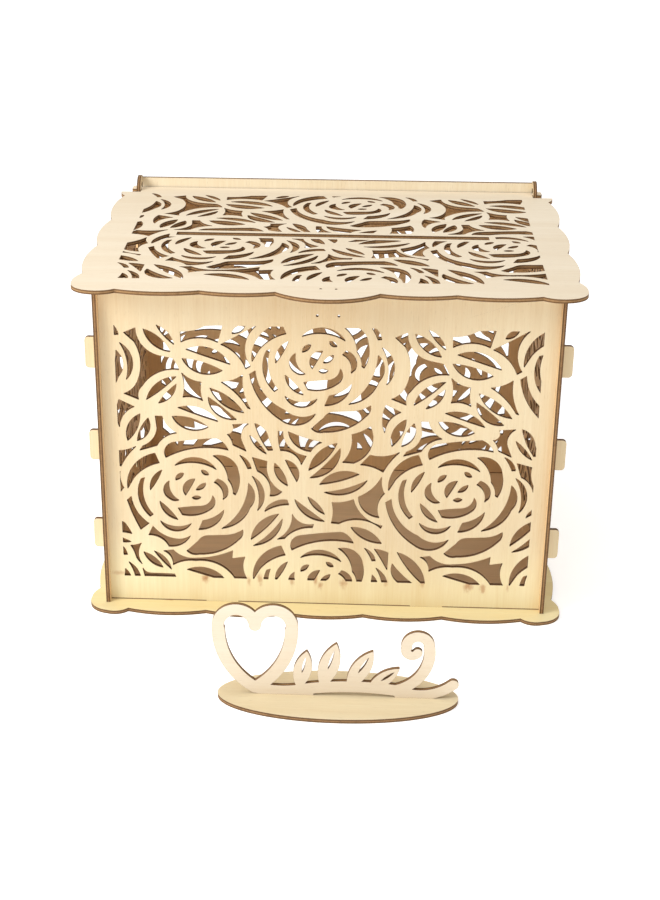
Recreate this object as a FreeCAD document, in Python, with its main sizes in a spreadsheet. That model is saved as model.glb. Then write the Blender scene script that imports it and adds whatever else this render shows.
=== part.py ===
import FreeCAD, Part
import math
import os
import Sketcher
from FreeCAD import Vector, Rotation, Placement

# Flat-pack wedding card box cut from thin plywood, millimetres.
# Frame: +Z up, -Y is the front, +X is the right-hand side seen from the front.
# Origin: the middle of the footprint of the box and its sign, on the table.

doc = FreeCAD.newDocument("card_box")
sheet = doc.addObject("Spreadsheet::Sheet", "Sizes")
CELLS = [
    ("ply", 2.5),             # sheet thickness
    ("body_wide", 280.0),     # over the outer faces of the side panels
    ("body_deep", 220.0),     # front to back of a side panel
    ("wall_tall", 215.0),     # top of the base plate to the top of the walls
    ("back_tall", 224.2),     # the back panel stands above the lid as a stop
    ("margin", 5.0),          # side panels run on past the front and back panels
    ("tab_out", 6.5),         # side tabs stand out of the side panels
    ("tab_tall", 20.0),
    ("tab_low", 47.5),        # middle heights of the three side tabs
    ("tab_mid", 108.5),
    ("tab_high", 169.5),
    ("tab_round", 2.4),
    ("foot_at", 65.5),        # tabs that stand in the base plate
    ("foot_wide", 20.0),
    ("side_foot_at", 45.0),
    ("fit_gap", 0.05),        # each side of a tab in its slot
    ("win_low", 17.0),        # fretwork windows of the walls
    ("win_high", 188.2),
    ("win_half", 128.4),
    ("side_win_half", 90.0),
    ("lid_win_front", 2.6),
    ("lid_win_back", 194.0),
    ("lid_win_half", 128.8),
    ("slot_long", 200.0),     # card slot
    ("slot_front", 93.8),
    ("slot_back", 100.6),
    ("slot_rim", 4.2),
    ("pilot", 0.8),           # radius of the pilot holes for a small lock
    ("pilot_at", 6.4),
    ("lid_over", 10.4),       # side overhang of the lid and base, lobes included
    ("cusp_in", 3.8),         # depth of the notch between two lobes
    ("lid_front", 17.8),      # lid cusps ahead of the side panels
    ("base_front", 6.8),
    ("lid_back", 198.2),      # rear edge of the lid beside the ears
    ("pivot_deep", 210.2),
    ("ear_round", 9.8),
    ("ear_hole", 5.0),
    ("trunnion_half", 4.5),
    ("trunnion_out", 4.0),
    ("tongue_back", 1.4),     # rear edge of the lid behind the pivot
    ("side_gap", 0.4),        # lid tongue to the ears
    ("rest_gap", 0.05),
    ("sign_at", 11.0),
    ("sign_deep", 101.0),
    ("oval_long", 70.0),
    ("oval_short", 26.0),
    ("sign_tab", 8.0),
    ("sign_tab_left", -7.0),
    ("sign_tab_right", 48.0),
    ("frame_deep", 52.06),     # frame origin behind the front edge of the side panels
]
for row, (alias, value) in enumerate(CELLS, start=1):
    sheet.set("A%d" % row, alias)
    sheet.set("B%d" % row, str(value))
    sheet.setAlias("B%d" % row, alias)
doc.recompute()


def val(alias):
    return float(sheet.get(alias))


ply = val("ply")
half = val("body_wide") / 2
inner = half - ply
wall = val("wall_tall")
y0 = -val("frame_deep")                 # front edge of the side panels
front_y = y0 + val("margin")            # outer face of the front panel
back_y = y0 + val("body_deep") - val("margin") - ply   # inner face of the back panel
lid_z = ply + wall + val("rest_gap")    # underside of the lid
pivot_y = y0 + val("pivot_deep")
pivot_z = lid_z + ply / 2
base_z = ply                            # top of the base plate

# Openings of the rose-and-leaf fretwork, one repeat wide.
# Each opening: list of (x,y) corners and (x,y,1) points that an arc passes through
ROSE_AT = (-81.0, 73.7)
ROSE = [
 [(-83.4,73.6),(-80.9,75.0,1),(-78.2,74.1),(-80.6,72.6,1)],
 [(-80.8,79.2),(-78.7,82.2,1),(-75.0,84.0),(-76.3,80.7,1)],
 [(-81.6,86.6),(-88.4,82.4,1),(-87.6,75.4),(-84.6,80.6,1)],
 [(-93.4,85.8),(-92.4,89.2,1),(-88.6,90.4),(-90.4,87.2,1)],
 [(-77.2,92.8),(-74.7,92.3,1),(-73.0,89.8),(-75.9,90.1,1)],
 [(-69.4,84.6),(-67.4,87.0),(-61.6,82.0,1),(-61.8,75.0),(-64.0,73.0),(-64.9,80.2,1)],
 [(-97.8,84.8),(-101.2,78.0,1),(-97.6,72.5),(-94.8,71.3,1),(-92.0,71.8),(-96.6,76.8,1)],
 [(-92.4,66.2),(-90.0,61.6),(-80.6,61.6,1),(-72.0,65.8),(-69.4,69.8,1),(-70.6,75.2),(-73.4,69.8,1),(-78.4,67.8),(-85.4,67.2,1)],
 [(-103.8,70.6),(-100.6,62.6,1),(-93.0,58.2),(-97.6,64.6,1)],
 [(-103.8,56.8),(-94.0,49.9,1),(-84.6,55.4),(-93.8,53.1,1)],
 [(-79.6,51.4),(-68.8,55.6,1),(-63.8,65.4),(-70.2,60.2,1),(-77.0,57.8)],
 [(-93.6,95.8),(-82.4,101.3,1),(-68.2,93.6),(-82.0,97.9,1)],
 [(-102.2,92.2),(-108.0,86.8,1),(-109.6,78.6),(-105.4,85.0,1)],
 [(-115.2,86.0),(-113.2,86.7),(-114.0,72.6,1),(-108.5,61.4),(-110.4,60.0),(-117.2,73.6,1)],
 [(-69.8,102.8),(-59.8,101.2,1),(-54.4,92.4),(-53.8,84.4,1),(-56.4,76.4),(-57.6,77.2),(-58.2,82.0,1),(-60.6,86.4),(-63.4,96.0,1)],
 [(-48.0,84.4),(-44.3,76.6,1),(-47.4,67.6),(-54.4,57.2,1),(-65.0,52.6),(-53.6,65.0,1)],
 [(-45.6,89.4),(-38.4,78.4,1),(-42.4,66.0),(-41.6,78.4,1)],
 [(-53.2,103.4),(-49.0,100.4,1),(-46.4,94.8),(-48.4,94.6),(-50.6,99.4,1)],
 [(-106.2,103.6),(-103.6,97.2),(-112.8,93.2,1),(-119.8,86.6),(-121.8,83.0,1),(-123.8,79.4),(-119.4,95.2,1)],
 [(-87.6,36.0),(-84.4,33.8,1),(-80.0,33.8),(-63.8,37.6,1),(-54.6,44.8),(-52.2,48.2,1),(-52.0,51.8),(-57.4,48.9,1),(-64.0,47.8),(-73.6,47.2),(-77.4,46.2,1),(-80.0,43.4)],
 [(-99.2,101.0),(-99.4,107.2,1),(-94.6,111.2),(-81.0,113.2,1),(-67.6,114.4),(-63.6,111.6,1),(-60.6,107.0),(-81.6,107.6,1)],
]
# long outer petal of a rose, and its shorter form in two pieces
LONG = [[(-125.3,70.9),(-117.4,51.6,1),(-106.5,41.2),(-95.5,38.2,1),(-85.5,45.6),(-94.0,43.4,1),(-104.5,48.0),(-117.2,58.8,1),(-122.1,73.0)]]
SHORT = [[(-124.4,71.0),(-122.0,73.4),(-118.6,63.0,1),(-111.4,55.0),(-116.6,50.6),(-121.0,60.6,1)],
 [(-108.8,52.8),(-101.6,46.6,1),(-93.0,44.2),(-88.8,44.8,1),(-85.4,46.6),(-91.0,40.6,1),(-99.0,39.0),(-104.0,44.8,1),(-111.6,46.8)]]
# leaves and gaps between the roses, area right of the lower rose
AREA_A = [
 [(-10.5,94.5),(-5.6,105.6,1),(6.5,113.0),(0.2,102.6,1)],
 [(-9.6,89.4),(-1.0,97.6,1),(8.6,109.4),(6.4,98.8,1)],
 [(-3.6,85.0),(6.6,93.4,1),(20.5,92.4),(7.6,87.2,1)],
 [(-0.6,79.6),(13.0,82.6,1),(25.6,88.2),(12.8,78.6,1)],
 [(-31.6,98.6),(-30.4,89.8,1),(-23.8,83.6),(-26.2,91.6,1)],
 [(-25.0,101.0),(-21.6,93.6,1),(-18.0,86.6),(-17.2,94.4,1)],
 [(-10.8,76.0),(-7.2,69.2,1),(-0.6,64.4),(-4.6,71.2,1)],
 [(-19.0,74.0),(-13.6,64.6,1),(-0.6,59.4),(-10.6,67.2,1)],
 [(-37.8,65.4),(-36.0,69.0,1),(-33.6,71.0),(-28.6,73.4,1),(-24.0,73.6),(-23.0,70.4),(-30.8,69.0,1)],
 [(-46.6,45.4),(-41.0,57.6,1),(-29.4,63.6),(-37.0,54.0,1)],
 [(-45.0,41.0),(-34.8,49.8,1),(-27.0,60.2),(-31.6,48.2,1)],
 [(-20.6,63.6),(-15.8,58.2,1),(-7.4,57.0),(-8.0,54.8),(-18.2,52.6,1),(-25.6,46.6),(-29.8,46.0),(-22.8,53.4,1)],
 [(4.3,72.6),(11.0,73.0,1),(17.4,75.0),(22.8,64.6,1),(35.6,57.2),(35.0,55.6),(21.0,61.2,1),(8.6,58.0),(4.0,58.4),(5.0,65.4,1)],
 [(20.7,77.0),(28.8,82.6,1),(34.6,90.6),(34.8,84.4,1),(36.6,79.6),(32.6,72.0,1),(33.6,63.0),(25.2,66.6,1)],
 [(16.4,55.6),(27.6,53.2,1),(35.6,44.8),(24.6,47.6,1)],
 [(-45.4,102.2),(-36.6,99.8),(-35.4,88.4,1),(-27.4,79.2),(-30.6,76.8,1),(-34.6,76.2),(-35.6,86.4,1),(-42.4,93.0)],
 [(-28.0,107.4),(-20.2,105.4,1),(-15.2,98.4),(-12.4,104.0),(-19.6,106.8,1),(-24.6,112.0),(-26.4,115.8,1),(-26.8,120.0),(-29.4,120.2),(-29.2,113.8,1)],
 [(21.5,99.0),(27.2,105.6),(36.4,105.0,1),(45.0,107.8),(39.8,101.8,1),(35.4,94.4),(29.0,97.6,1)],
 [(10.4,100.4),(15.2,109.0,1),(15.8,119.2),(21.0,121.0,1),(26.8,124.6),(26.4,108.4,1),(17.0,100.0)],
 [(-23.2,120.0),(-13.2,116.2,1),(-3.0,113.4),(-7.0,110.8,1),(-9.6,107.2),(-18.0,110.6,1)],
 [(-43.8,125.0),(-38.0,121.0,1),(-35.6,114.6),(-33.0,107.6),(-35.8,107.4),(-40.4,115.4,1)],
 [(-47.0,117.0),(-43.4,110.0,1),(-37.0,105.0),(-41.0,111.2,1)],
]
# area above the lower rose
AREA_B = [
 [(-110.6,185.0),(-105.8,176.0,1),(-95.0,171.0),(-100.6,179.2,1)],
 [(-102.6,187.6),(-98.4,181.2,1),(-92.6,175.8),(-95.4,182.0,1)],
 [(-85.0,172.6),(-72.0,174.0,1),(-58.8,163.6),(-72.6,168.2,1)],
 [(-87.6,166.6),(-75.0,164.4,1),(-63.6,159.4),(-77.0,157.4,1)],
 [(-110.0,139.6),(-105.4,148.4,1),(-91.8,154.8),(-100.4,146.6,1)],
 [(-102.6,137.4),(-98.0,143.8,1),(-91.8,149.8),(-95.0,141.8,1)],
 [(-71.0,147.8),(-60.4,142.6,1),(-50.8,132.2),(-63.2,137.2,1)],
 [(-72.2,141.8),(-63.8,135.4,1),(-55.4,127.6),(-67.2,130.8,1)],
 [(-90.8,134.6),(-77.6,134.6,1),(-66.8,126.0),(-79.4,130.2,1)],
 [(-94.6,128.6),(-82.8,127.6,1),(-72.8,122.0),(-85.8,120.4,1)],
 [(-114.6,129.8),(-122.0,122.4,1),(-122.6,112.0),(-116.6,120.2,1)],
 [(-109.6,127.2),(-114.6,119.8,1),(-116.6,112.0),(-109.6,117.8,1)],
 [(-122.4,182.6),(-115.6,185.6),(-112.4,175.4,1),(-101.0,168.0),(-97.0,167.2,1),(-93.6,166.4),(-91.4,163.0,1),(-90.0,159.6),(-103.0,157.2,1),(-112.4,148.6),(-115.0,144.4,1),(-115.0,139.6),(-123.6,143.2),(-117.6,147.4,1),(-114.8,152.4),(-112.8,165.0,1),(-116.4,177.0)],
 [(-88.0,157.2),(-82.6,153.2,1),(-76.6,151.6),(-77.0,145.4,1),(-75.8,139.6),(-81.8,141.8,1),(-87.6,141.6),(-86.6,149.4,1)],
 [(-88.2,183.6),(-88.0,177.4),(-77.2,180.2,1),(-66.2,177.6),(-63.4,188.2),(-73.6,187.4),(-80.2,184.6,1)],
 [(-57.2,183.4),(-54.4,187.4,1),(-49.6,188.4),(-52.4,184.6,1)],
 [(-64.0,176.2),(-53.6,182.0,1),(-43.0,188.4),(-49.8,175.4,1),(-46.6,162.6),(-49.2,161.0),(-55.4,170.6,1)],
 [(-64.0,151.8),(-57.4,153.2,1),(-51.4,156.6),(-50.8,145.4,1),(-46.8,134.8),(-48.2,135.4),(-55.4,145.0,1)],
 [(-127.0,139.0),(-118.0,134.6),(-124.8,129.0,1),(-127.4,121.2),(-128.8,130.2,1)],
 [(-105.0,128.6),(-101.0,128.6),(-97.8,122.0,1),(-92.4,117.6),(-99.6,114.8,1),(-104.6,109.0),(-110.0,107.2,1),(-115.2,105.6),(-113.4,108.4),(-106.8,113.6,1),(-104.2,120.6)],
 [(-57.4,124.0),(-48.0,124.8),(-52.2,119.6,1),(-51.6,111.8),(-49.6,106.6),(-57.4,110.4),(-58.0,113.0,1),(-60.8,117.4),(-57.2,120.0,1)],
]
# area below the lower rose
AREA_C = [
 [(-102.4,35.6),(-96.4,36.4),(-90.4,32.0,1),(-81.0,31.0),(-69.0,32.8,1),(-58.6,36.8),(-59.0,31.2),(-50.8,32.6),(-52.0,25.0,1),(-49.0,16.0),(-56.6,16.0),(-67.0,26.6,1),(-82.0,29.2),(-89.4,28.8,1),(-96.6,25.8),(-98.0,31.8,1)],
 [(-87.6,22.6),(-76.0,24.2,1),(-63.0,15.0),(-75.6,18.8,1)],
 [(-117.0,38.6),(-106.0,32.0,1),(-99.0,15.0),(-110.6,27.8,1)],
 [(-120.0,30.4),(-113.6,22.6,1),(-104.6,15.0),(-117.6,18.6,1)],
 [(-131.5,40.6),(-127.0,39.8,1),(-123.0,38.2),(-123.4,26.4),(-126.2,31.8,1)],
]

# smaller cuts of the lower left corner
CORNER = [
 [(-131.0,55.0),(-128.0,55.6,1),(-126.0,53.6),(-124.4,51.2,1),(-122.6,47.4),(-126.6,48.2,1),(-131.0,48.6)],
 [(-131.0,45.0),(-127.4,43.6,1),(-123.4,41.6),(-127.0,41.2,1),(-131.0,42.0)],
 [(-123.4,39.0),(-120.0,39.4,1),(-116.8,40.6),(-118.8,33.2,1),(-116.8,26.0),(-118.6,28.0,1),(-119.9,30.0),(-121.2,34.4,1)],
 [(-115.2,34.4),(-108.2,30.6,1),(-103.4,23.8),(-110.4,27.0,1)],
 [(-108.4,35.2),(-101.6,30.6,1),(-98.0,22.6),(-103.4,28.4,1)],
 [(-116.2,22.6),(-114.2,20.2,1),(-111.8,19.3),(-96.0,19.0),(-94.6,15.0),(-114.6,15.0)],
]

REPEAT = 163.0


def moved(opening, du, dv, k=1.0, u_at=0.0, v_at=0.0):
    """shift an opening by du, dv, then scale it by k and put it at u_at, v_at"""
    return [tuple([(p[0] + du) * k + u_at, (p[1] + dv) * k + v_at] + list(p[2:])) for p in opening]


def openings(corner):
    """every opening over four repeats; corner: with the smaller cuts of the lower left corner"""
    shift = 5.0 if corner else 0.0
    out = []
    for i in (-1, 0, 1, 2):
        lower = ROSE_AT[1] if i == 0 else 76.4
        for at_u, at_v, petals in ((ROSE_AT[0], lower, SHORT if i == 0 else LONG),
                                   (-2.5 + (shift if i == -1 else 0.0), 160.3, LONG),
                                   (-2.5 + (shift if i == -1 else 0.0), 11.3, LONG)):
            for op in ROSE + petals:
                out.append(moved(op, at_u - ROSE_AT[0] + i * REPEAT, at_v - ROSE_AT[1]))
        for op in AREA_A + AREA_B + AREA_C[:2] + (CORNER if corner and i == 0 else AREA_C[2:]):
            out.append(moved(op, i * REPEAT, 0))
    return out


def wire_of(outline):
    """closed wire in the XY plane through corners, with an arc where a middle point is given"""
    edges = []
    n = len(outline)
    i = 0
    while i < n:
        a = outline[i]
        b = outline[(i + 1) % n]
        pa = Vector(a[0], a[1], 0)
        if len(b) == 3:
            c = outline[(i + 2) % n]
            bend = (b[0] - a[0]) * (c[1] - a[1]) - (b[1] - a[1]) * (c[0] - a[0])
            if abs(bend) < 1e-3:
                edges.append(Part.makeLine(pa, Vector(c[0], c[1], 0)))
            else:
                edges.append(Part.Arc(pa, Vector(b[0], b[1], 0), Vector(c[0], c[1], 0)).toShape())
            i += 2
        else:
            edges.append(Part.makeLine(pa, Vector(b[0], b[1], 0)))
            i += 1
    return Part.Wire(edges)


def face_of(outline):
    f = Part.Face(wire_of(outline))
    if f.normalAt(0, 0).z < 0:
        f.reverse()
    return f


def widened(face, kerf):
    """the opening with the width of the cut added all round; a smaller width where the outline doesn't allow it"""
    for share in (1.0, 0.9, 0.75, 0.5):
        try:
            grown = face.makeOffset2D(kerf * share, 0, False, False)
        except Exception:
            continue
        if grown.isValid() and len(grown.Faces) == 1 and grown.Area > face.Area:
            f = grown.Faces[0]
            if f.normalAt(0, 0).z < 0:
                f.reverse()
            return f
    return face


def fret_cutters(window, k, u_at, v_at, du=0.0, dv=0.0, keep_out=None, kerf=0.3, corner=False):
    """flat faces of the fretwork inside a window, cut off square at its edges"""
    u0, v0, u1, v1 = window
    frame = Part.makePlane(u1 - u0, v1 - v0, Vector(u0, v0, 0))
    rim = None
    if keep_out:
        rim = Part.makePlane(keep_out[2] - keep_out[0], keep_out[3] - keep_out[1],
                             Vector(keep_out[0], keep_out[1], 0))
    faces = []
    for op in openings(corner):
        op = moved(op, du, dv, k, u_at, v_at)
        us = [p[0] for p in op]
        vs = [p[1] for p in op]
        if max(us) < u0 - 1 or min(us) > u1 + 1 or max(vs) < v0 - 1 or min(vs) > v1 + 1:
            continue
        f = widened(face_of(op), kerf)
        bb = f.BoundBox
        parts = [f]
        if bb.XMin < u0 or bb.XMax > u1 or bb.YMin < v0 or bb.YMax > v1:
            parts = f.common(frame).Faces
        if rim and parts and not (bb.XMax < keep_out[0] or bb.XMin > keep_out[2]
                                  or bb.YMax < keep_out[1] or bb.YMin > keep_out[3]):
            parts = [g for p in parts for g in p.cut(rim).Faces]
        for p in parts:
            if p.Area > 5.0 and min(p.BoundBox.XLength, p.BoundBox.YLength) > 1.2:
                faces.append(p)
    return faces


def feature(name, shape, place=None):
    obj = doc.addObject("Part::Feature", name)
    obj.Shape = shape
    if place is not None:
        obj.Placement = place
    return obj


def upright(origin, turn):
    """placement that stands an XY drawing up: v becomes +Z, then a turn about Z"""
    return Placement(origin, Rotation(Vector(0, 0, 1), turn).multiply(Rotation(Vector(1, 0, 0), 90)))


def fret_tool(name, faces, place):
    """prisms that run past both faces of a sheet whose own drawing plane is z 0 to ply"""
    solids = [f.translated(Vector(0, 0, -1.0)).extrude(Vector(0, 0, ply + 2.0)) for f in faces]
    return feature(name, Part.makeCompound(solids), place)


def bind(obj, **cells):
    for prop, expr in cells.items():
        obj.setExpression(prop.replace("__", "."), expr)


def box(name, length, width, height, x, y, z):
    """a box whose sizes and place are expressions of the sheet's cells"""
    b = doc.addObject("Part::Box", name)
    bind(b, Length=length, Width=width, Height=height,
         Placement__Base__x=x, Placement__Base__y=y, Placement__Base__z=z)
    return b


def cylinder(name, radius, height, x, y, z, rotation=None):
    c = doc.addObject("Part::Cylinder", name)
    if rotation is not None:
        c.Placement = Placement(Vector(0, 0, 0), rotation)
    bind(c, Radius=radius, Height=height,
         Placement__Base__x=x, Placement__Base__y=y, Placement__Base__z=z)
    return c


def fuse(name, shapes):
    m = doc.addObject("Part::MultiFuse", name)
    m.Shapes = shapes
    m.Refine = True
    return m


def cut(name, base, tool):
    c = doc.addObject("Part::Cut", name)
    c.Base = base
    c.Tool = tool
    return c


def group(name, shapes):
    m = doc.addObject("Part::Compound", name)
    m.Links = shapes
    return m


def round_corners(name, base, radius_cell, pick):
    """fillet the edges of base that pick() chooses"""
    doc.recompute()
    f = doc.addObject("Part::Fillet", name)
    f.Base = base
    r = val(radius_cell)
    f.Edges = [(i + 1, r, r) for i, e in enumerate(base.Shape.Edges) if pick(e)]
    return f


S = "Sizes."
# Expressions of the main planes, all in millimetres
FRONT = "-Sizes.frame_deep"
FRONT_FACE = "(-Sizes.frame_deep + Sizes.margin)"
BACK_FACE = "(-Sizes.frame_deep + Sizes.body_deep - Sizes.margin - Sizes.ply)"
INNER = "(Sizes.body_wide / 2 - Sizes.ply)"
HALF = "(Sizes.body_wide / 2)"
LID_Z = "(Sizes.ply + Sizes.wall_tall + Sizes.rest_gap)"
PIVOT_Y = "(-Sizes.frame_deep + Sizes.pivot_deep)"
PIVOT_Z = "(Sizes.ply + Sizes.wall_tall + Sizes.rest_gap + Sizes.ply / 2)"


# ---------------------------------------------------------------- front and back panels
def cross_panel(name, face_expr, tall_expr, window_cutters, turn, origin):
    """a wall between the side panels: three through-tabs a side, two feet in the base"""
    parts = [box(name + "_sheet", "Sizes.body_wide - 2 * Sizes.ply", "Sizes.ply", tall_expr,
                 "-" + INNER, face_expr, "Sizes.ply")]
    for n, cell in enumerate(("tab_low", "tab_mid", "tab_high")):
        parts.append(box(name + "_tabs_%d" % n, "Sizes.body_wide + 2 * Sizes.tab_out", "Sizes.ply",
                         "Sizes.tab_tall", "-(Sizes.body_wide / 2 + Sizes.tab_out)", face_expr,
                         "Sizes.ply + Sizes.%s - Sizes.tab_tall / 2" % cell))
    for sign, n in (("-", 0), ("", 1)):
        parts.append(box(name + "_foot_%d" % n, "Sizes.foot_wide", "Sizes.ply", "Sizes.ply + 5",
                         "%sSizes.foot_at - Sizes.foot_wide / 2" % sign, face_expr, "0"))
    blank = fuse(name + "_blank", parts)
    edge_at = half + val("tab_out")
    rounded = round_corners(name + "_rounded", blank, "tab_round",
                            lambda e: len(e.Vertexes) == 2
                            and all(abs(abs(v.X) - edge_at) < 1e-6 for v in e.Vertexes)
                            and abs(e.Vertexes[0].Y - e.Vertexes[1].Y) > ply / 2)
    tool = fret_tool(name + "_fretwork", window_cutters, upright(origin, turn))
    return rounded, tool


window = (-val("win_half"), val("win_low"), val("win_half"), val("win_high"))
front_faces = fret_cutters(window, 1.0, 0.0, 0.0, corner=True)
front_rounded, front_tool = cross_panel("front", FRONT_FACE, "Sizes.wall_tall", front_faces, 0,
                                        Vector(0, front_y + ply, base_z))
pilots = [cylinder("front_pilot_%d" % n, "Sizes.pilot", "Sizes.ply + 2",
                   "%sSizes.pilot_at" % sgn, FRONT_FACE + " + Sizes.ply + 1", "Sizes.ply + 195.6",
                   Rotation(Vector(1, 0, 0), 90)) for n, sgn in enumerate(("-", ""))]
front_panel = cut("front_panel", front_rounded, group("front_tools", [front_tool] + pilots))
front_panel.Label = "front_panel"

back_faces = fret_cutters(window, 1.0, 0.0, 0.0, corner=True)
back_rounded, back_tool = cross_panel("back", BACK_FACE, "Sizes.back_tall", back_faces, 180,
                                      Vector(0, back_y, base_z))
back_panel = cut("back_panel", back_rounded, back_tool)
back_panel.Label = "back_panel"


# ---------------------------------------------------------------- side panels with lid ears
side_window = (-val("side_win_half"), val("win_low"), val("side_win_half"), val("win_high"))
side_faces = fret_cutters(side_window, 1.0, 0.0, 0.0, du=2.5)


def side_panel(side, name):
    """a side wall; its rear top corner rises past the lid as an ear with the pivot hole"""
    x_out = "-" + HALF if side < 0 else INNER
    sheet_box = box(name + "_sheet", "Sizes.ply", "Sizes.body_deep", "Sizes.wall_tall",
                    x_out, FRONT, "Sizes.ply")
    neck = box(name + "_ear_neck", "Sizes.ply", "2 * Sizes.ear_round",
               "Sizes.rest_gap + Sizes.ply / 2 + 12",
               x_out, PIVOT_Y + " - Sizes.ear_round", "Sizes.ply + Sizes.wall_tall - 12")
    crown = cylinder(name + "_ear_crown", "Sizes.ear_round", "Sizes.ply", x_out, PIVOT_Y, PIVOT_Z,
                     Rotation(Vector(0, 1, 0), 90))
    feet = [box(name + "_foot_%d" % n, "Sizes.ply", "Sizes.foot_wide", "Sizes.ply + 5", x_out,
                "-Sizes.frame_deep + Sizes.body_deep / 2 %s Sizes.side_foot_at - Sizes.foot_wide / 2" % sgn, "0")
            for n, sgn in enumerate(("-", "+"))]
    blank = fuse(name + "_blank", [sheet_box, neck, crown] + feet)
    tools = [cylinder(name + "_pivot_hole", "Sizes.ear_hole", "Sizes.ply + 2",
                      x_out + " - 1", PIVOT_Y, PIVOT_Z, Rotation(Vector(0, 1, 0), 90))]
    for n, cell in enumerate(("tab_low", "tab_mid", "tab_high")):
        for f, face_expr in enumerate((FRONT_FACE, BACK_FACE)):
            tools.append(box(name + "_slot_%d%d" % (n, f), "Sizes.ply + 2", "Sizes.ply + 2 * Sizes.fit_gap",
                             "Sizes.tab_tall + 2 * Sizes.fit_gap", x_out + " - 1",
                             face_expr + " - Sizes.fit_gap",
                             "Sizes.ply + Sizes.%s - Sizes.tab_tall / 2 - Sizes.fit_gap" % cell))
    mid_y = y0 + val("body_deep") / 2
    if side < 0:
        place = upright(Vector(-inner, mid_y, base_z), -90)
    else:
        place = upright(Vector(inner, mid_y, base_z), 90)
    tools.append(fret_tool(name + "_fretwork", side_faces, place))
    obj = cut(name, blank, group(name + "_tools", tools))
    obj.Label = name
    return obj


left_side = side_panel(-1, "left_side_panel")
right_side = side_panel(1, "right_side_panel")


# ---------------------------------------------------------------- scalloped plates
def add_outline(body, name, outline):
    """a closed sketch on the body's own XY plane"""
    sk = body.newObject("Sketcher::SketchObject", name)
    plane = [f for f in body.Origin.OriginFeatures if f.Role == "XY_Plane"][0]
    sk.AttachmentSupport = [(plane, "")]
    sk.MapMode = "FlatFace"
    n = len(outline)
    i = 0
    ids = []
    while i < n:
        a = outline[i]
        b = outline[(i + 1) % n]
        pa = Vector(a[0], a[1], 0)
        if len(b) == 3:
            c = outline[(i + 2) % n]
            arc = Part.Arc(pa, Vector(b[0], b[1], 0), Vector(c[0], c[1], 0))
            circle = arc
            ids.append(sk.addGeometry(circle, False))
            i += 2
        else:
            ids.append(sk.addGeometry(Part.LineSegment(pa, Vector(b[0], b[1], 0)), False))
            i += 1
    return sk


def lobe(a, b, depth):
    """middle point of an outward lobe between two cusps; outward is to the right of a to b"""
    mx, my = (a[0] + b[0]) / 2, (a[1] + b[1]) / 2
    dx, dy = b[0] - a[0], b[1] - a[1]
    d = math.hypot(dx, dy)
    return (mx + dy / d * depth, my - dx / d * depth, 1)


def plate(name, outline, height_expr):
    body = doc.addObject("PartDesign::Body", name)
    sk = add_outline(body, name + "_outline", outline)
    pad = body.newObject("PartDesign::Pad", name + "_pad")
    pad.Profile = sk
    pad.setExpression("Length", "Sizes.ply")
    body.Tip = pad
    body.setExpression("Placement.Base.z", height_expr)
    return body


edge = half + val("lid_over") - val("cusp_in")     # cusps lie on this line at the sides
cusp = val("cusp_in")


def mirrored(points):
    """right half of an outline, from the front middle round to the rear middle, made whole"""
    left = [tuple([-p[0]] + list(p[1:])) for p in reversed(points)]
    return points + left


# base plate: even lobes all round
fy = y0 - val("base_front")
by = y0 + val("body_deep") + val("base_front")
mid = y0 + val("body_deep") / 2
ring = [(25.0, fy), (75.0, fy), (125.0, fy), "front_corner",
        (edge, mid - 91.5), (edge, mid - 30.5), (edge, mid + 30.5), (edge, mid + 91.5), "rear_corner",
        (125.0, by), (75.0, by), (25.0, by)]


def ring_outline(ring, corner):
    """cusps joined by lobes; a corner is one rounder lobe through the given point"""
    pts = [p for p in ring]
    out = []
    for n, p in enumerate(pts):
        if isinstance(p, str):
            continue
        out.append(p)
        if n + 1 < len(pts):
            q = pts[n + 1]
            if isinstance(q, str):
                out.extend(corner[q])
            else:
                out.append(lobe(p, q, cusp))
    return out


c_out = half + val("lid_over")
base_corner = {
    "front_corner": [(131.2, fy - 4.0, 1), (138.4, fy - 3.4), (148.2, fy + 3.0, 1), (c_out, fy + 13.0),
                     (149.6, fy + 19.4, 1)],
    "rear_corner": [(149.6, by - 19.4, 1), (c_out, by - 13.0), (148.2, by - 3.0, 1), (138.4, by + 3.4),
                    (131.2, by + 4.0, 1)],
}
right = ring_outline(ring, base_corner)
base_outline = right + [lobe(right[-1], (-25.0, by), cusp)] \
    + [tuple([-p[0]] + list(p[1:])) for p in reversed(right)] + [(0.0, fy - cusp, 1)]
base_plate_body = plate("base_blank", base_outline, "0 * Sizes.ply")

base_slots = []
for f, face_expr in enumerate((FRONT_FACE, BACK_FACE)):
    for sgn, n in (("-", 0), ("", 1)):
        base_slots.append(box("base_slot_%d%d" % (f, n), "Sizes.foot_wide + 2 * Sizes.fit_gap",
                              "Sizes.ply + 2 * Sizes.fit_gap", "Sizes.ply + 2",
                              "%sSizes.foot_at - Sizes.foot_wide / 2 - Sizes.fit_gap" % sgn,
                              face_expr + " - Sizes.fit_gap", "-1"))
for s_n, x_expr in enumerate(("-" + HALF, INNER)):
    for n, sgn in enumerate(("-", "+")):
        base_slots.append(box("base_side_slot_%d%d" % (s_n, n), "Sizes.ply + 2 * Sizes.fit_gap",
                              "Sizes.foot_wide + 2 * Sizes.fit_gap", "Sizes.ply + 2",
                              x_expr + " - Sizes.fit_gap",
                              "-Sizes.frame_deep + Sizes.body_deep / 2 %s Sizes.side_foot_at"
                              " - Sizes.foot_wide / 2 - Sizes.fit_gap" % sgn, "-1"))
base_plate = cut("base_plate", base_plate_body, group("base_tools", base_slots))
base_plate.Label = "base_plate"


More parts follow.
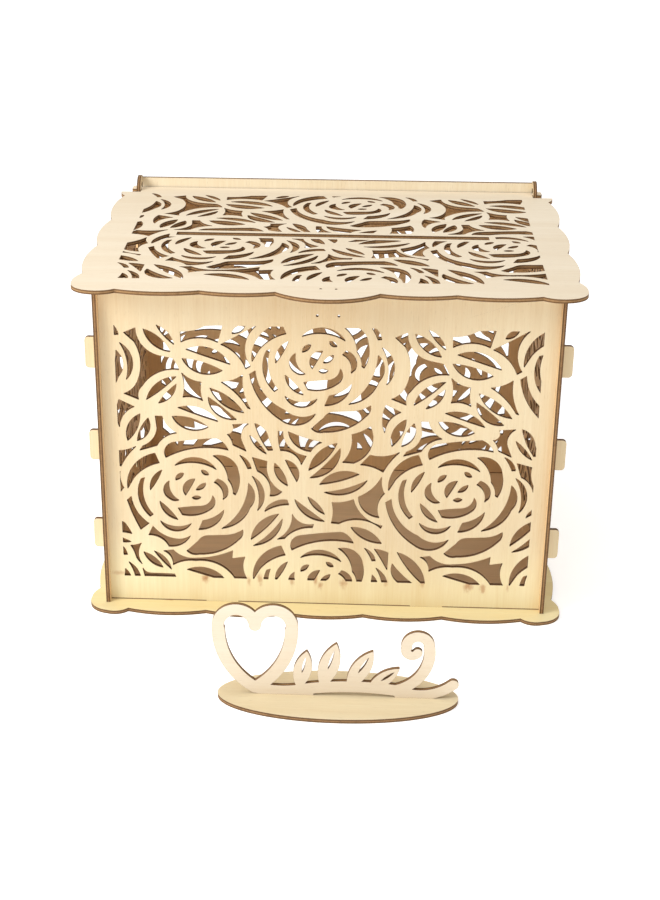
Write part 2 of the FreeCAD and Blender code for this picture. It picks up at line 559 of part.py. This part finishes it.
# lid: a deeper middle lobe in front, cut back beside the ears, with a trunnion at each end
ly = y0 - val("lid_front")
ry = y0 + val("lid_back")
tongue = inner - val("side_gap")
tip = half + val("trunnion_out")
th = val("trunnion_half")
tb = pivot_y + val("tongue_back")
lid_right = [
    (30.3, ly), lobe((30.3, ly), (74.2, ly), 3.6), (74.2, ly), lobe((74.2, ly), (123.4, ly), 3.9), (123.4, ly),
    (130.6, ly - 3.6, 1), (138.0, ly - 3.6), (147.6, ly + 2.2, 1), (c_out, ly + 11.0), (149.9, ly + 20.0, 1),
    (edge, y0 + 10.4), lobe((edge, y0 + 10.4), (edge, y0 + 68.0), 3.6),
    (edge, y0 + 68.0), lobe((edge, y0 + 68.0), (edge, y0 + 127.0), cusp),
    (edge, y0 + 127.0), lobe((edge, y0 + 127.0), (edge, y0 + 187.6), cusp),
    (edge, y0 + 187.6), (149.4, y0 + 192.4, 1), (c_out, ry),
    (tongue, ry), (tongue, pivot_y - th), (tip - 1.6, pivot_y - th), (tip - 0.47, pivot_y - th + 0.47, 1),
    (tip, pivot_y - th + 1.6), (tip, pivot_y + th - 1.6), (tip - 0.47, pivot_y + th - 0.47, 1),
    (tip - 1.6, pivot_y + th), (inner + 0.5, pivot_y + th), (inner + 0.5, tb),
]
lid_outline = lid_right + [tuple([-p[0]] + list(p[1:])) for p in reversed(lid_right)] + [(0.0, ly - 12.4, 1)]
lid_body = plate("lid_blank", lid_outline, LID_Z)

card_slot = box("card_slot", "Sizes.slot_long", "Sizes.slot_back - Sizes.slot_front", "Sizes.ply + 2",
                "-Sizes.slot_long / 2", "-Sizes.frame_deep + Sizes.slot_front", LID_Z + " - 1")
lid_pilots = [cylinder("lid_pilot_%d" % n, "Sizes.pilot", "Sizes.ply + 2", x_expr,
                       "-Sizes.frame_deep - 10.8", LID_Z + " - 1")
              for n, x_expr in enumerate(("-4.2", "4.8"))]
rim = val("slot_rim")
lid_faces = fret_cutters((-val("lid_win_half"), val("lid_win_front"), val("lid_win_half"), val("lid_win_back")),
                         1.086, 18.5, 162.0, du=2.5, dv=-160.3, kerf=0.45,
                         keep_out=(-val("slot_long") / 2 - rim, val("slot_front") - rim,
                                   val("slot_long") / 2 + rim, val("slot_back") + rim))
lid_tool = fret_tool("lid_fretwork", lid_faces, Placement(Vector(0, y0, lid_z), Rotation()))
lid = cut("lid", lid_body, group("lid_tools", [card_slot, lid_tool] + lid_pilots))
lid.Label = "lid"


# ---------------------------------------------------------------- table sign: oval foot and scroll
sign_y = y0 - val("sign_deep")
oval = doc.addObject("Part::Ellipse", "oval")
bind(oval, MajorRadius="Sizes.oval_long", MinorRadius="Sizes.oval_short",
     Placement__Base__x="Sizes.sign_at", Placement__Base__y="-Sizes.frame_deep - Sizes.sign_deep")
oval_plate = doc.addObject("Part::Extrusion", "oval_plate")
oval_plate.Base = oval
oval_plate.DirMode = "Custom"
oval_plate.Dir = Vector(0, 0, 1)
oval_plate.Solid = True
oval_plate.setExpression("LengthFwd", "Sizes.ply")
oval_slots = [box("oval_slot_%d" % n, "Sizes.sign_tab + 2 * Sizes.fit_gap", "Sizes.ply + 2 * Sizes.fit_gap",
                  "Sizes.ply + 2", "Sizes.%s - Sizes.sign_tab / 2 - Sizes.fit_gap" % cell,
                  "-Sizes.frame_deep - Sizes.sign_deep - Sizes.ply / 2 - Sizes.fit_gap", "-1")
              for n, cell in enumerate(("sign_tab_left", "sign_tab_right"))]
sign_base = cut("sign_base", oval_plate, group("oval_tools", oval_slots))
sign_base.Label = "sign_base"


def band(a, m, b, w):
    """a stroke of width w along the arc from a through m to b, with round ends"""
    arc = Part.Arc(Vector(a[0], a[1], 0), Vector(m[0], m[1], 0), Vector(b[0], b[1], 0)).toShape().Curve
    c = arc.Center
    r = arc.Radius
    pts = {}
    for key, p in (("a", a), ("m", m), ("b", b)):
        d = Vector(p[0], p[1], 0) - c
        d.normalize()
        pts[key] = (c + d * (r - w / 2), c + d * (r + w / 2))
    outer = Part.Arc(pts["a"][1], pts["m"][1], pts["b"][1]).toShape()
    inner_arc = Part.Arc(pts["b"][0], pts["m"][0], pts["a"][0]).toShape()
    strip = Part.Face(Part.Wire([outer, Part.makeLine(pts["b"][1], pts["b"][0]), inner_arc,
                                 Part.makeLine(pts["a"][0], pts["a"][1])]))
    ends = [Part.Face(Part.Wire(Part.makeCircle(w / 2, Vector(p[0], p[1], 0)))) for p in (a, b)]
    return [strip] + ends


def stroke_prisms(faces):
    out = []
    for f in faces:
        if f.normalAt(0, 0).z < 0:
            f.reverse()
        out.append(f.extrude(Vector(0, 0, ply)))
    return out


scroll = []
# open heart at the left, its two lobes and two long sides
for m in (-1, 1):
    hx = -37.0
    scroll += band((hx, 45.5), (hx + m * 11.5, 55.6), (hx + m * 21.0, 42.5), 7.0)
    scroll += band((hx + m * 21.0, 42.5), (hx + m * 16.6, 23.0), (hx, 4.2), 7.6)
# stem that runs along the foot, in three gentle waves
scroll += band((-37.0, 4.2), (-22.0, 2.2), (-7.0, 4.2), 7.4)
scroll += band((-7.0, 4.2), (20.5, 6.4), (48.0, 4.2), 7.4)
scroll += band((48.0, 4.2), (63.0, 2.6), (77.6, 9.6), 6.4)
# leaves along the stem, each with a slit for its vein
leaf_faces = []
vein_faces = []
for base_u, base_v, tip_u, tip_v, fat in ((-12.0, 4.0, -7.0, 29.5, 5.2), (1.5, 5.0, 10.0, 35.0, 5.8),
                                           (16.5, 5.0, 31.0, 30.5, 5.4), (28.0, 4.5, 46.5, 19.5, 4.2)):
    for share_a, share_b, half, faces in ((0.0, 1.0, fat, leaf_faces), (0.42, 0.84, 0.75, vein_faces)):
        au, av = base_u + (tip_u - base_u) * share_a, base_v + (tip_v - base_v) * share_a
        bu, bv = base_u + (tip_u - base_u) * share_b, base_v + (tip_v - base_v) * share_b
        d_ = math.hypot(bu - au, bv - av)
        nx_, ny_ = -(bv - av) / d_ * half, (bu - au) / d_ * half
        mu, mv = (au + bu) / 2, (av + bv) / 2
        faces.append(face_of([(au, av), (mu + nx_, mv + ny_, 1), (bu, bv), (mu - nx_, mv - ny_, 1)]))
# tall curl at the right
scroll += band((44.0, 5.0), (60.5, 18.0), (63.0, 34.0), 6.6)
scroll += band((63.0, 34.0), (56.4, 41.0), (50.0, 33.6), 6.2)
scroll += band((50.0, 33.6), (52.0, 28.6), (56.4, 30.2), 5.6)
pieces = stroke_prisms(scroll + leaf_faces)
for cell in ("sign_tab_left", "sign_tab_right"):
    wt = val("sign_tab")
    pieces.append(Part.makeBox(wt, 4.0 + ply, ply, Vector(val(cell) - wt / 2, -ply, 0)))
scroll_shape = pieces[0].multiFuse(pieces[1:]).removeSplitter()
scroll_shape = scroll_shape.common(Part.makeBox(170.0, 70.0, ply, Vector(-70.0, 0.0, 0))) \
    .fuse([Part.makeBox(val("sign_tab"), 4.0 + ply, ply, Vector(val(c) - val("sign_tab") / 2, -ply, 0))
           for c in ("sign_tab_left", "sign_tab_right")]).removeSplitter()
scroll_shape = scroll_shape.cut(stroke_prisms(vein_faces))
if len(scroll_shape.Solids) == 1:
    scroll_shape = scroll_shape.Solids[0]
sign_scroll = feature("sign_scroll", scroll_shape, upright(Vector(0, sign_y + ply / 2, base_z), 0))
sign_scroll.Label = "sign_scroll"


# ---------------------------------------------------------------- checks and files
doc.recompute()
NODES = [front_panel, back_panel, left_side, right_side, base_plate, lid, sign_scroll, sign_base]
for obj in doc.Objects:
    if "Invalid" in obj.State or "Error" in obj.State:
        raise RuntimeError("%s is %s" % (obj.Name, obj.State))
os.makedirs("parts", exist_ok=True)
low = [1e9] * 3
high = [-1e9] * 3
for obj in NODES:
    shape = obj.Shape
    if shape.isNull() or not shape.isValid():
        raise RuntimeError("bad shape: " + obj.Label)
    if len(shape.Solids) != 1:
        raise RuntimeError("%s has %d solids" % (obj.Label, len(shape.Solids)))
    bb = shape.BoundBox
    low = [min(a, b) for a, b in zip(low, (bb.XMin, bb.YMin, bb.ZMin))]
    high = [max(a, b) for a, b in zip(high, (bb.XMax, bb.YMax, bb.ZMax))]
    shape.exportStep("parts/%s.step" % obj.Label)
    print("%-18s faces %4d volume %9.1f" % (obj.Label, len(shape.Faces), shape.Volume))
print("low", [round(v, 3) for v in low], "high", [round(v, 3) for v in high])
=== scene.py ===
"""Laser-cut plywood card box with a hinged lid and a small standing sign.
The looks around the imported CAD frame: plywood materials, studio floor, light and camera."""
import bpy
import math
from mathutils import Matrix, Vector


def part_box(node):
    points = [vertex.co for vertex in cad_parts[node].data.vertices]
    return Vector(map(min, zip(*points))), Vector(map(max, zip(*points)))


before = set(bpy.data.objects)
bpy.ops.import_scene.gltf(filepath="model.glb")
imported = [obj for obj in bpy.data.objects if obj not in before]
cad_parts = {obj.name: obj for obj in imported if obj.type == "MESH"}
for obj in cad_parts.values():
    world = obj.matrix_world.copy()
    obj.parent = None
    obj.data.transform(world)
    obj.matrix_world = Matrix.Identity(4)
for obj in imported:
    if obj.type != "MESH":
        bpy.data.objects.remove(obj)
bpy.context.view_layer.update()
PLY = 0.0025


def linear(rgb):
    """An 8-bit display colour as the linear colour that a shader takes."""
    out = []
    for v in rgb:
        v /= 255.0
        out.append(v / 12.92 if v <= 0.04045 else ((v + 0.055) / 1.055) ** 2.4)
    return (*out, 1.0)


class Graph:
    """A material's node tree, written as sums of sockets and numbers."""

    def __init__(self, name):
        self.material = bpy.data.materials.new(name)
        self.material.use_nodes = True
        self.tree = self.material.node_tree
        self.tree.nodes.clear()

    def node(self, kind, **settings):
        n = self.tree.nodes.new(kind)
        for key, value in settings.items():
            setattr(n, key, value)
        return n

    def put(self, socket, value):
        if isinstance(value, bpy.types.NodeSocket):
            self.tree.links.new(value, socket)
        elif value is not None:
            socket.default_value = value

    def math(self, op, a, b=None, c=None, clamp=False):
        n = self.node("ShaderNodeMath", operation=op, use_clamp=clamp)
        for socket, value in zip(n.inputs, (a, b, c)):
            self.put(socket, value)
        return n.outputs[0]

    def band(self, value, a, b, smooth=True):
        """0 below a, 1 above b."""
        n = self.node("ShaderNodeMapRange", clamp=True)
        n.interpolation_type = "SMOOTHSTEP" if smooth else "LINEAR"
        self.put(n.inputs["Value"], value)
        self.put(n.inputs["From Min"], a)
        self.put(n.inputs["From Max"], b)
        return n.outputs[0]

    def colour(self, factor, a, b, blend="MIX"):
        n = self.node("ShaderNodeMix", data_type="RGBA", blend_type=blend, clamp_factor=True)
        self.put(n.inputs[0], factor)
        self.put(n.inputs[6], a)
        self.put(n.inputs[7], b)
        return n.outputs[2]

    def vector(self, x, y, z):
        n = self.node("ShaderNodeCombineXYZ")
        for socket, value in zip(n.inputs, (x, y, z)):
            self.put(socket, value)
        return n.outputs[0]

    def noise(self, place, detail=2.0, rough=0.5, distortion=0.0):
        n = self.node("ShaderNodeTexNoise", noise_dimensions="3D")
        self.put(n.inputs["Vector"], place)
        n.inputs["Scale"].default_value = 1.0
        n.inputs["Detail"].default_value = detail
        n.inputs["Roughness"].default_value = rough
        n.inputs["Distortion"].default_value = distortion
        return n.outputs[0]


def plywood(name, axis, mid, grain, light, dark, seed, inner_shade=None, inner_side=0, inner_top=None, inner_box=None, painted_low_light=None,
            burnt=((104, 74, 46), (158, 122, 82)), stains=(), seam_shade_line=None, halo=0.75, amount=1.0):
    """Three-ply board. axis: the thickness direction, mid: its middle on that axis, grain: the direction the face
    veneer runs,
    light and dark: the veneer's tones, inner_shade: a browner tone painted as shade on the face that looks along
    inner_side, into the box, up to inner_top and within inner_box,
    painted_low_light: a paler tone painted as light low on the face and the heights between which it fades, stains: (u,
    v, half width, half height, strength) along the cross and grain axes,
    seam_shade_line: the height of the dark line painted as shade in the seam along the lower edge and the feet it
    leaves out."""
    g = Graph(name)
    place = g.node("ShaderNodeTexCoord")
    split = g.node("ShaderNodeSeparateXYZ")
    g.put(split.inputs[0], place.outputs["Object"])
    facing = g.node("ShaderNodeSeparateXYZ")
    g.put(facing.inputs[0], place.outputs["Normal"])
    xyz = split.outputs
    cross = 3 - axis - grain
    n, l, c = xyz[axis], xyz[grain], xyz[cross]

    def grained(across, along, through, detail=2.0, rough=0.5, distortion=0.0, offset=0.0):
        return g.noise(
            g.vector(
                g.math("MULTIPLY_ADD", c, across, seed + offset),
                g.math("MULTIPLY", l, along),
                g.math("MULTIPLY", n, through),
            ),
            detail, rough, distortion,
        )

    # the face veneer: broad tone, soft growth bands, fibres and short pores, all running along the grain
    broad = grained(16.0, 4.0, 30.0, 2.0, offset=3.1)
    bands = grained(95.0, 5.0, 90.0, 3.0, 0.55, 0.35, offset=11.7)
    fibres = grained(950.0, 30.0, 400.0, 3.0, 0.6, offset=5.3)
    fine = grained(3200.0, 110.0, 900.0, 2.0, 0.65, offset=8.9)
    pores = g.band(grained(2100.0, 190.0, 700.0, 1.0, 0.5, offset=2.2), 0.66, 0.76)
    tone = g.math("MULTIPLY_ADD", g.math("SUBTRACT", broad, 0.5), 1.1 * amount, 0.36)
    tone = g.math("MULTIPLY_ADD", g.math("SUBTRACT", bands, 0.5), 0.85 * amount, tone)
    tone = g.math("MULTIPLY_ADD", g.math("SUBTRACT", fibres, 0.5), 0.8 * amount, tone)
    tone = g.math("MULTIPLY_ADD", g.math("SUBTRACT", fine, 0.5), 0.45 * amount, tone, clamp=True)
    veneer = g.colour(tone, linear(light), linear(dark))
    veneer = g.colour(g.math("MULTIPLY", pores, 0.30), veneer, linear([v * 0.80 for v in dark]))
    # painted light: a paler tone fading in low on the face, standing in for the brighter light near the bottom of the
    # panel
    if painted_low_light:
        fade = g.math("SUBTRACT", 1.0, g.band(g.math("MULTIPLY_ADD", g.math("SUBTRACT", broad, 0.5), 0.05, xyz[2]), painted_low_light[1], painted_low_light[2]))
        veneer = g.colour(fade, veneer, g.colour(tone, linear(painted_low_light[0]), linear([v * f for v, f in zip(painted_low_light[0], (0.95, 0.90, 0.82))])))
    # painted shade: the faces that look into the box get a browner tone, standing in for the shade inside it
    if inner_shade:
        if inner_side > 0:
            inside = g.band(facing.outputs[axis], 0.5, 0.9)
        else:
            inside = g.band(g.math("MULTIPLY", facing.outputs[axis], -1.0), 0.5, 0.9)
        if inner_top is not None:
            inside = g.math("MULTIPLY", inside, g.math("LESS_THAN", xyz[2], inner_top))
        if inner_box is not None:
            for socket, a, b in ((xyz[0], inner_box[0], inner_box[1]), (xyz[1], inner_box[2], inner_box[3])):
                inside = g.math("MULTIPLY", inside, g.math("MULTIPLY", g.math("GREATER_THAN", socket, a), g.math("LESS_THAN", socket, b)))
        inside_shade_tone = g.colour(tone, linear(inner_shade), linear([v * 0.88 for v in inner_shade]))
        veneer = g.colour(inside, veneer, inside_shade_tone)
    blotch = g.noise(g.vector(g.math("MULTIPLY", xyz[0], 420.0), g.math("MULTIPLY", xyz[1], 420.0), g.math("MULTIPLY", xyz[2], 300.0)), 3.0, 0.6) if stains or seam_shade_line else None
    for u, v, wide, tall, strength in stains:
        du = g.math("DIVIDE", g.math("SUBTRACT", c, u), wide)
        dv = g.math("DIVIDE", g.math("SUBTRACT", l, v), tall)
        away = g.math("SQRT", g.math("ADD", g.math("MULTIPLY", du, du), g.math("MULTIPLY", dv, dv)))
        away = g.math("MULTIPLY_ADD", g.math("SUBTRACT", blotch, 0.5), 1.5, away)
        away = g.math("MULTIPLY_ADD", g.math("SUBTRACT", fibres, 0.5), 0.8, away)
        spot = g.math("MULTIPLY", g.math("SUBTRACT", 1.0, g.band(away, 0.0, 1.15)), strength)
        veneer = g.colour(spot, veneer, linear((166, 104, 52)))
    # painted shade: a dark line on the lowest strip of the face, in the seam where the panel stands on the base, left
    # out at the feet
    if seam_shade_line:
        line = g.math("LESS_THAN", g.math("MULTIPLY_ADD", blotch, 0.00016, xyz[2]), seam_shade_line[0])
        for a, b in seam_shade_line[1]:
            line = g.math("MULTIPLY", line, g.math("GREATER_THAN", g.math("ABSOLUTE", g.math("SUBTRACT", xyz[0], (a + b) / 2)), (b - a) / 2))
        veneer = g.colour(g.math("MULTIPLY", line, 0.85), veneer, linear((92, 58, 34)))

    # the laser's burnt cut: dark outer plies, a paler core, streaks that run through the thickness
    depth = g.math("ABSOLUTE", g.math("DIVIDE", g.math("SUBTRACT", n, mid), PLY))
    ripple = g.noise(g.vector(g.math("MULTIPLY", xyz[0], 260.0), g.math("MULTIPLY", xyz[1], 260.0), g.math("MULTIPLY", xyz[2], 260.0)), 3.0, 0.6)
    wavy = g.math("MULTIPLY_ADD", g.math("SUBTRACT", ripple, 0.5), 0.10, depth)
    core = g.math("SUBTRACT", 1.0, g.band(wavy, 0.14, 0.22))
    glue = g.math("MULTIPLY", g.band(wavy, 0.14, 0.19), g.math("SUBTRACT", 1.0, g.band(wavy, 0.23, 0.28)))
    rim = g.band(wavy, 0.41, 0.5)
    long_streak = g.noise(
        g.vector(
            g.math("MULTIPLY", xyz[0], 1500.0 if axis != 0 else 90.0),
            g.math("MULTIPLY", xyz[1], 1500.0 if axis != 1 else 90.0),
            g.math("MULTIPLY", xyz[2], 1500.0 if axis != 2 else 90.0),
        ), 2.0, 0.6)
    burn = g.math("MULTIPLY", core, g.math("MULTIPLY_ADD", g.band(long_streak, 0.25, 0.75), 0.35, 0.55))
    edge = g.colour(burn, linear(burnt[0]), linear(burnt[1]))
    edge = g.colour(g.math("MULTIPLY", g.math("MAXIMUM", glue, rim), 0.55), edge, linear([v * 0.55 for v in burnt[0]]))
    edge = g.colour(g.math("MULTIPLY", g.band(ripple, 0.45, 0.75), 0.30), edge, linear([v * 0.72 for v in burnt[0]]))

    # face or cut, by the surface's own direction; a scorched line follows each cut on the face
    flat = g.band(g.math("ABSOLUTE", facing.outputs[axis]), 0.80, 0.95)
    rounded = g.node("ShaderNodeBevel", samples=4)
    rounded.inputs["Radius"].default_value = 0.00045
    real = g.node("ShaderNodeNewGeometry")
    dot = g.node("ShaderNodeVectorMath", operation="DOT_PRODUCT")
    g.put(dot.inputs[0], rounded.outputs[0])
    g.put(dot.inputs[1], real.outputs["Normal"])
    near = g.band(g.math("SUBTRACT", 1.0, dot.outputs["Value"]), 0.0, 0.22)
    scorched = g.math("MULTIPLY", near, g.math("MULTIPLY_ADD", ripple, 0.5, halo - 0.25), clamp=True)
    face = g.colour(scorched, veneer, linear((132, 92, 58)))
    base = g.colour(flat, edge, face)

    rough = g.math("MULTIPLY_ADD", fibres, 0.16, 0.50)
    rough = g.math("ADD", g.math("MULTIPLY", rough, flat), g.math("MULTIPLY", g.math("SUBTRACT", 1.0, flat), 0.86))
    relief = g.math("MULTIPLY_ADD", fibres, 0.6, g.math("MULTIPLY", fine, 0.4))
    relief = g.math("MULTIPLY_ADD", pores, -0.5, relief)
    relief = g.math("ADD", g.math("MULTIPLY", relief, flat), g.math("MULTIPLY", g.math("MULTIPLY", g.math("SUBTRACT", 1.0, flat), long_streak), 2.0))
    bump = g.node("ShaderNodeBump")
    bump.inputs["Strength"].default_value = 0.35
    bump.inputs["Distance"].default_value = 0.00006
    g.put(bump.inputs["Height"], relief)
    shader = g.node("ShaderNodeBsdfPrincipled")
    shader.inputs["Specular IOR Level"].default_value = 0.32
    g.put(shader.inputs["Base Color"], base)
    g.put(shader.inputs["Roughness"], rough)
    g.put(shader.inputs["Normal"], bump.outputs[0])
    out = g.node("ShaderNodeOutputMaterial")
    g.put(out.inputs[0], shader.outputs[0])
    return g.material


def middle(node, axis):
    a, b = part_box(node)
    return (a[axis] + b[axis]) / 2


X, Y, Z = 0, 1, 2
# the browner tone painted on the faces inside the box: painted shade
INSIDE_SHADE = (232, 198, 150)
front_low, front_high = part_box("front_panel")
looks = {
    "front_panel": dict(axis=Y, grain=Z, light=(219, 202, 168), dark=(205, 178, 136), seed=0.0, inner_shade=INSIDE_SHADE, inner_side=1,
                        # the paler tone low on the front is painted light
                        painted_low_light=((229, 216, 176), 0.010, 0.060),
                        stains=((-0.0759, 0.0190, 0.0032, 0.0040, 0.80), (-0.0482, 0.0180, 0.0016, 0.0046, 0.50), (-0.0411, 0.0195, 0.0022, 0.0050, 0.55),
                                (-0.0206, 0.0185, 0.0018, 0.0048, 0.50), (-0.0053, 0.0195, 0.0016, 0.0052, 0.65), (-0.0027, 0.0160, 0.0022, 0.0038, 0.60),
                                (0.0120, 0.0180, 0.0030, 0.0050, 0.60), (0.0394, 0.0195, 0.0018, 0.0042, 0.40), (0.0623, 0.0200, 0.0022, 0.0040, 0.45),
                                (0.0916, 0.0180, 0.0036, 0.0050, 0.75), (0.1010, 0.0165, 0.0024, 0.0040, 0.60), (0.1165, 0.0180, 0.0012, 0.0030, 0.45),
                                (-0.1320, 0.0215, 0.0060, 0.0020, 0.45)),
                        burnt=((80, 51, 31), (124, 90, 60)),
                        # the dark line at the foot is painted shade in the seam on the base
                        seam_shade_line=(0.00325, ((-0.0758, -0.0552), (0.0552, 0.0758)))),
    "back_panel": dict(axis=Y, grain=Z, light=(232, 219, 192), dark=(218, 197, 160), seed=41.0, inner_shade=INSIDE_SHADE, inner_side=-1, inner_top=0.2175,
                       # the dark line at the foot is painted shade in the seam on the base
                       seam_shade_line=(0.00325, ((-0.0758, -0.0552), (0.0552, 0.0758)))),
    "left_side_panel": dict(axis=X, grain=Z, light=(228, 209, 174), dark=(211, 184, 141), seed=17.0, inner_shade=INSIDE_SHADE, inner_side=1, inner_top=0.2175),
    "right_side_panel": dict(axis=X, grain=Z, light=(228, 209, 174), dark=(211, 184, 141), seed=29.0, inner_shade=INSIDE_SHADE, inner_side=-1, inner_top=0.2175),
    "base_plate": dict(axis=Z, grain=X, light=(231, 218, 174), dark=(222, 199, 142), seed=53.0, inner_shade=(236, 206, 164), inner_side=1,
                       inner_box=(-0.1385, 0.1385, -0.0455, 0.1615), stains=((-0.0455, -0.0995, 0.0035, 0.0040, 0.7), (-0.0570, -0.0530, 0.0040, 0.0030, 0.5))),
    "lid": dict(axis=Z, grain=X, light=(236, 222, 198), dark=(223, 203, 172), seed=67.0, inner_shade=INSIDE_SHADE, inner_side=-1, burnt=((112, 80, 48), (166, 130, 88))),
    "sign_scroll": dict(axis=Y, grain=X, light=(224, 210, 188), dark=(214, 195, 166), seed=83.0),
    "sign_base": dict(axis=Z, grain=X, light=(219, 205, 172), dark=(206, 185, 145), seed=97.0),
}
for node, facts in looks.items():
    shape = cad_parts[node]
    material = plywood("plywood_" + node, mid=middle(node, facts["axis"]), **facts)
    for i in range(len(shape.material_slots)):
        shape.material_slots[i].link = "OBJECT"
        shape.material_slots[i].material = material

# floor
floor_mesh = bpy.data.meshes.new("floor")
floor_mesh.from_pydata([(-7, -7, -0.0002), (7, -7, -0.0002), (7, 7, -0.0002), (-7, 7, -0.0002)], [], [(0, 1, 2, 3)])
floor = bpy.data.objects.new("floor", floor_mesh)
bpy.context.scene.collection.objects.link(floor)
g = Graph("floor_paper")
shader = g.node("ShaderNodeBsdfPrincipled")
shader.inputs["Base Color"].default_value = (0.90, 0.90, 0.90, 1)
shader.inputs["Emission Color"].default_value = (1, 1, 1, 1)
shader.inputs["Emission Strength"].default_value = 0.40
shader.inputs["Roughness"].default_value = 0.9
shader.inputs["Specular IOR Level"].default_value = 0.0
out = g.node("ShaderNodeOutputMaterial")
g.put(out.inputs[0], shader.outputs[0])
floor_mesh.materials.append(g.material)

# light
scene = bpy.context.scene
world = bpy.data.worlds.new("studio")
scene.world = world
world.use_nodes = True
sky = world.node_tree
way = sky.nodes.new("ShaderNodeTexCoord")
parts = sky.nodes.new("ShaderNodeSeparateXYZ")
sky.links.new(way.outputs["Generated"], parts.inputs[0])
rise = sky.nodes.new("ShaderNodeMapRange")      # a bright horizon, so that the far end of the room is white too
rise.inputs["From Min"].default_value = 0.10
rise.inputs["From Max"].default_value = 0.42
rise.inputs["To Min"].default_value = 1.05
rise.inputs["To Max"].default_value = 0.44
sky.links.new(parts.outputs["Z"], rise.inputs["Value"])
sky.links.new(rise.outputs[0], sky.nodes["Background"].inputs[1])
sky.nodes["Background"].inputs[0].default_value = (1.0, 1.0, 1.0, 1)


def lamp(name, toward, strength, angle, tint=(1, 1, 1)):
    """A broad distant light; toward points from the object to it."""
    data = bpy.data.lights.new(name, "SUN")
    data.energy = strength
    data.angle = math.radians(angle)
    data.color = tint
    o = bpy.data.objects.new(name, data)
    o.location = Vector(toward).normalized() * 3
    o.rotation_euler = (-Vector(toward)).to_track_quat("-Z", "Y").to_euler()
    scene.collection.objects.link(o)


key = bpy.data.lights.new("key", "AREA")
key.shape = "DISK"
key.size = 0.62
key.energy = 13.5
key.color = (1.0, 0.99, 0.975)
key_object = bpy.data.objects.new("key", key)
key_object.location = (-0.96, -0.62, 0.80)
key_object.rotation_euler = (Vector((0.0, 0.0, 0.10)) - key_object.location).to_track_quat("-Z", "Y").to_euler()
scene.collection.objects.link(key_object)
lamp("top", (0.0, -0.20, 1.0), 1.05, 60)

# camera
data = bpy.data.cameras.new("camera")
data.sensor_fit = "VERTICAL"
data.sensor_height = 36.0
data.lens = 1584.77 / 900 * 36.0
data.shift_x = (330 - 289.464) / 900
data.shift_y = (454.977 - 450) / 900
data.clip_start = 0.01
data.clip_end = 50
camera = bpy.data.objects.new("camera", data)
yaw, pitch, roll = -0.0466051, 0.4231022, 0.00416018
forward = Vector((math.sin(yaw) * math.cos(pitch), math.cos(yaw) * math.cos(pitch), -math.sin(pitch)))
right = Vector((math.cos(yaw), -math.sin(yaw), 0))
up = right.cross(forward)
r = math.cos(roll) * right + math.sin(roll) * up
u = -math.sin(roll) * right + math.cos(roll) * up
turn = Matrix((r, u, -forward)).transposed().to_4x4()
camera.matrix_world = Matrix.Translation((0.018965, -0.937984, 0.508708)) @ turn
scene.collection.objects.link(camera)
scene.camera = camera
scene.view_settings.view_transform = "Standard"
scene.view_settings.look = "None"
